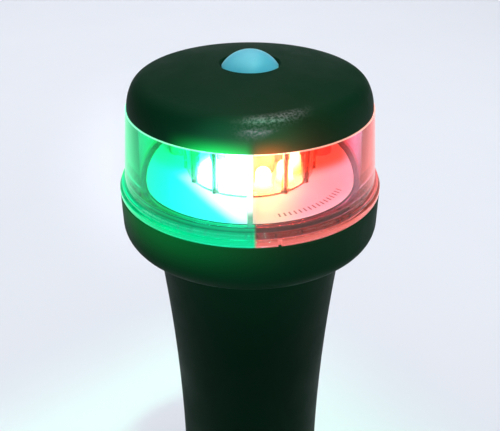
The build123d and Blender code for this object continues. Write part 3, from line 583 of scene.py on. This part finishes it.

# ---- Lens: clear polycarbonate tube with two ridges round its foot, gripped by the head base ----
# Its moulded edges are rounded, and a witness mark crosses the ridges just to port of the bow.
# The lens's green and red tint and the glow in its ridges, sides and top edge are painted light from the
# lamps; the polycarbonate itself is clear.
lens_low, lens_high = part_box("lens")
seam, lens_top, flange = lens_low.z, lens_high.z, lens_high.x
rim, seat, rebate_top = 26.85 * MM, board_radius + 0.2 * MM, seam + 1.2 * MM
groove_root, ridge, wall_foot = flange - 0.9 * MM, flange - 0.4 * MM, seam + 2.42 * MM
foot_outer, top_outer, wall = flange - 1.1 * MM, flange - 2.35 * MM, 1.7 * MM
lens_outline = rounded([
    (rim, seam, 0.08 * MM), (flange, seam, 0.3 * MM), (flange, seam + 1.3 * MM, 0.35 * MM),
    (groove_root, seam + 1.35 * MM, 0.06 * MM), (groove_root, seam + 1.6 * MM, 0.06 * MM),
    (ridge, seam + 1.6 * MM, 0.2 * MM), (ridge - 0.02 * MM, seam + 2.25 * MM, 0.25 * MM),
    (foot_outer, wall_foot, 0.3 * MM), (top_outer, lens_top, 0.08 * MM),
    (top_outer - wall, lens_top, 0.2 * MM), (foot_outer - 1.9 * MM, board_top, 0.5 * MM),
    (seat, board_top, 0.2 * MM), (seat, rebate_top, 0.1 * MM), (rim, rebate_top, 0.1 * MM)])
mark_angle = -pi / 2 + 5.7 * MM / flange
mark_half = 0.35 * MM / flange
lens_angles = np.unique(np.concatenate([
    np.linspace(-pi, pi, 320, endpoint=False), mark_angle + mark_half * np.linspace(-1.6, 1.6, 13)]))


def witness_mark(radius, height, angle):
    """Ridges pressed in to just proud of the wall where the mark crosses them."""
    across = np.abs(angle - mark_angle) < mark_half
    return np.where(across & (height < seam + 2.3 * MM), np.minimum(radius, flange - 0.75 * MM), radius)


split, lamp_middle = 1.0 * MM, 12 * MM


def lens_tint(made, x, y, z):
    """Painted light: the plastic is clear, and this tint paints in the green or red of the lamps behind it.
    It is clearest over the lamps, and deepest where the lit rear walls show through."""
    up = z - seam
    over_lamps = made.ramp(up, 3.0 * MM, 5.0 * MM)
    out = abs(x)
    hot = made.ramp(out + abs(up - lamp_middle) * 1.3, 9.5 * MM, 14.5 * MM, 1.0, 0.0) * over_lamps
    warm = made.ramp(out, 3.5 * MM, 11 * MM, 1.0, 0.0) * over_lamps
    deep = made.ramp(up, lamp_middle, 14.5 * MM) * made.ramp(out, 16.5 * MM, 20.5 * MM, 1.0, 0.0)
    green = made.blend(made.ramp(out, 9 * MM, 17 * MM), (0.04, 1.0, 0.84), (0.015, 0.90, 0.50))
    green = made.blend(deep, green, (0.01, 0.85, 0.32))
    green = made.blend(hot, green, (0.95, 1.0, 1.0))
    red = made.blend(deep * made.ramp(out, 5 * MM, 9 * MM), (0.96, 0.50, 0.68), (0.95, 0.10, 0.06))
    red = made.blend(warm, red, (1.0, 0.90, 0.74))
    return made.blend(made.ramp(x, split - 0.5 * MM, split + 0.5 * MM), green, red)


def lens_glow(made, x, y, z):
    """Painted glow standing in for light trapped in the wall: in the ridges, at the top edge and down the
    two sides. To port of the bow only the lower ridge is painted lit."""
    port = made.ramp(x, split - 0.4 * MM, split + 0.4 * MM)
    groove = made.ramp(abs(z - (seam + 1.45 * MM)), 0.1 * MM, 0.3 * MM, 0.5, 1.0)
    ridges = made.ramp(z, seam + 2.2 * MM, seam + 2.9 * MM, 1.0, 0.05) * groove
    lower = made.ramp(z, seam + 1.1 * MM, seam + 1.4 * MM, 1.0, 0.04)
    low = ridges * (1.0 - port) + lower * port
    flank = made.ramp(abs(x), flange - 6.0 * MM, flange - 2.4 * MM, 0.0, 0.55)
    share = made.node("ShaderNodeMath", {"operation": "MAXIMUM"}, {0: low, 1: flank})
    side = made.blend(port, (0.0, 0.62, 0.27), (0.70, 0.16, 0.12))
    lip = made.ramp(z, lens_top - 0.25 * MM, lens_top - 0.12 * MM)
    lip_colour = made.blend(made.ramp(x, -3 * MM, 5 * MM), (0.55, 1.5, 1.0), (1.5, 0.85, 0.65))
    return made.blend(lip, made.blend(share, unlit, side), lip_colour)


polycarbonate = clear("clear polycarbonate", lens_tint, (0.9, 0.95, 0.93), lens_glow,
                      ior=1.5, gloss=0.02, shine=(0.12, 0.42, 0.35))
lens_mesh = turned("lens_clear", lens_outline, angles=lens_angles, press=witness_mark)
lens = stand("lens_clear", lens_mesh, "head", polycarbonate, crease=50.0)
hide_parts("lens")

# ---- Top cap: the same soft-touch moulding as the stem, clamped over the lens by the head screws ----
# Its lower edge at the bow carries a painted glow in place of the lamps' light, and a thumb has rubbed its
# shoulder there to a faint gloss.
cap_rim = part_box("top_cap")[0].z


def cap_painted_glow(coat):
    """Painted glow in place of the lamps' light: a green patch and a smaller orange one low at the bow, in a
    wide green haze.
    """
    x, y, z = coat.along()
    front = coat.ramp(y, -22 * MM, -14 * MM, 1.0, 0.0)
    up = coat.ramp(z, cap_rim - 1.0 * MM, cap_rim + 4.2 * MM, 1.0, 0.0) ** 1.6
    starboard, port = coat.ramp(x, -1.0 * MM, 1.2 * MM, 1.0, 0.1), coat.ramp(x, -0.5 * MM, 1.5 * MM)
    green = coat.ramp(abs(x + 5.5 * MM), 0.0, 10.5 * MM, 1.0, 0.0) * starboard
    orange = coat.ramp(abs(x - 3.2 * MM), 0.0, 5.0 * MM, 1.0, 0.0) * port
    haze = coat.ramp(abs(x + 1.0 * MM), 4 * MM, 17 * MM, 1.0, 0.0) * coat.ramp(y, -21 * MM, -25 * MM)
    glow = coat.blend(haze, unlit, (0.0, 0.045, 0.016))
    glow = coat.blend(green * up * front, glow, (0.0, 1.35, 0.17))
    return coat.blend(orange * up * front, glow, (0.62, 0.14, 0.02))


def thumb_polish(coat):
    """A slanting streak rubbed on the shoulder at the bow, where a thumb steadies the light: it
    follows the line where the distance from the axis plus an eighth of x is 23.5 mm."""
    x, y, _ = coat.along()
    out = (x * x + y * y) ** 0.5
    across = coat.ramp(abs(x - 3.8 * MM), 2 * MM, 8.5 * MM, 1.0, 0.0)
    up = coat.ramp(abs(out + x * 0.12 - 23.5 * MM), 0.3 * MM, 1.9 * MM, 1.0, 0.0)
    rubbed = coat.ramp(coat.noise(0.00045, 3.0), 0.42, 0.60, 0.12, 1.0)
    return across * up * rubbed * coat.ramp(y, -14 * MM, -17 * MM)


cap_coat = soft_touch("cap soft-touch coat", cap_painted_glow, thumb_polish, grain=0.0003, depth=0.00004)
dress(cap_coat, "top_cap")

# ---- Push button: blue silicone dome, moulded with a matt skin ----
# Its flange is trapped under the crown, inside a sealing ring of the same silicone.
silicone = Finish("blue silicone")
skin = silicone.noise(0.0004, 3.0)
tone = silicone.noise(0.004, 2.0)
silicone.surface(
    base_color=silicone.blend(tone, (0.050, 0.335, 0.46), (0.068, 0.37, 0.505)),
    roughness=silicone.ramp(skin, 0.3, 0.7, 0.34, 0.46),
    specular_ior_level=0.4, subsurface_weight=0.15, subsurface_scale=0.002,
    sheen_weight=0.35, sheen_roughness=0.25, sheen_tint=(0.75, 1.0, 1.0),
    normal=silicone.bump(skin, 0.000012))
dress(silicone, "button", "button_boot")

# ---- Studio: broad softboxes above and beside, and the lamps' own light inside the head ----
# Two narrow beams at the bow light the board and the cap's shoulder. The lamps' light comes from small
# round lights just outside the optic, because the lamps' own domes are shut.


def softbox(name, at, aim, width, height, power, colour, spread=180.0):
    """A rectangular light at one point, facing another, whose beam is 'spread' degrees wide."""
    data = bpy.data.lights.new(name, "AREA")
    data.shape = "RECTANGLE"
    data.size, data.size_y, data.energy, data.color = width, height, power, colour
    data.spread = radians(spread)
    light = bpy.data.objects.new(name, data)
    bpy.context.scene.collection.objects.link(light)
    light.location = at
    light.rotation_euler = (Vector(aim) - Vector(at)).to_track_quat("-Z", "Y").to_euler()


def bulb(name, at, power, colour, radius):
    """A small round light, unseen itself."""
    data = bpy.data.lights.new(name, "POINT")
    data.energy, data.color, data.shadow_soft_size = power, colour, radius
    light = bpy.data.objects.new(name, data)
    bpy.context.scene.collection.objects.link(light)
    light.location = at
    light.visible_camera = False
    light.visible_glossy = False
    light.visible_transmission = False


narrow = 8.0
softbox("top softbox", (-0.08, 0.38, 1.05), (0.0, 0.25, 0.0), 1.3, 1.3, 12.8, (1.0, 0.99, 0.98))
softbox("bow fill", (0.07, -0.40, 0.27), (0.005, -0.022, 0.108),
        0.07, 0.03, 0.012, (0.9, 0.9, 1.0), narrow)
softbox("shoulder light", (0.055, -0.085, 0.55), (0.004, -0.023, 0.1235),
        0.12, 0.12, 0.020, (0.4, 1.0, 0.68), narrow)
softbox("right strip", (0.42, 0.12, 0.16), (0.0, 0.0, 0.09), 0.12, 0.5, 0.4, (0.95, 0.98, 1.0))
world = bpy.data.worlds.new("studio")
world.use_nodes = True
sky = world.node_tree.nodes["Background"]
sky.inputs["Color"].default_value = (0.80, 0.87, 1.0, 1.0)
sky.inputs["Strength"].default_value = 0.22
bpy.context.scene.world = world
beam_circle, beam_height = optic_outer + 1.6 * MM, board_top + 6.0 * MM
thrown = {
    -1: ((14.0, (0.8, 1.0, 0.9), 0.07), (36.0, (0.5, 1.0, 0.85), 0.015),
         (62.0, (0.1, 1.0, 0.6), 0.003), (88.0, (0.0, 1.0, 0.35), 0.005)),
    1: ((14.0, (1.0, 0.7, 0.4), 0.010), (36.0, (1.0, 0.25, 0.18), 0.0015),
        (62.0, (1.0, 0.12, 0.11), 0.001), (88.0, (1.0, 0.04, 0.03), 0.003))}
for side, lamps in thrown.items():
    for b, colour, power in lamps:
        x, y = spot(beam_circle, side * b)
        bulb("lamp light", (x, y, beam_height), power, colour, 1.0 * MM)

# ---- Camera: above the bow, looking down past the lens to the stem ----
# It stands close, as for a small object held at arm's length, so the stem narrows away below.
data = bpy.data.cameras.new("camera")
data.lens = 54.7
data.clip_start = 0.01
camera = bpy.data.objects.new("camera", data)
bpy.context.scene.collection.objects.link(camera)
camera.location = (0.0, -0.1482, 0.1754)
look_down = 29.6
camera.rotation_euler = (radians(90 - look_down), 0.0, 0.0)
bpy.context.scene.camera = camera
bpy.context.scene.view_settings.view_transform = "Standard"

# ---- Glare: the halo that a lit lamp makes in any lens ----
# Only what is brighter than white spreads, and only a little.
bpy.context.scene.use_nodes = True
desk = bpy.context.scene.node_tree
desk.nodes.clear()
picture = desk.nodes.new("CompositorNodeRLayers")
glare = desk.nodes.new("CompositorNodeGlare")
glare.glare_type = "BLOOM"
glare.inputs["Threshold"].default_value = 1.2
glare.inputs["Strength"].default_value = 0.06
glare.inputs["Size"].default_value = 0.25
result = desk.nodes.new("CompositorNodeComposite")
desk.links.new(picture.outputs["Image"], glare.inputs["Image"])
desk.links.new(glare.outputs["Image"], result.inputs["Image"])
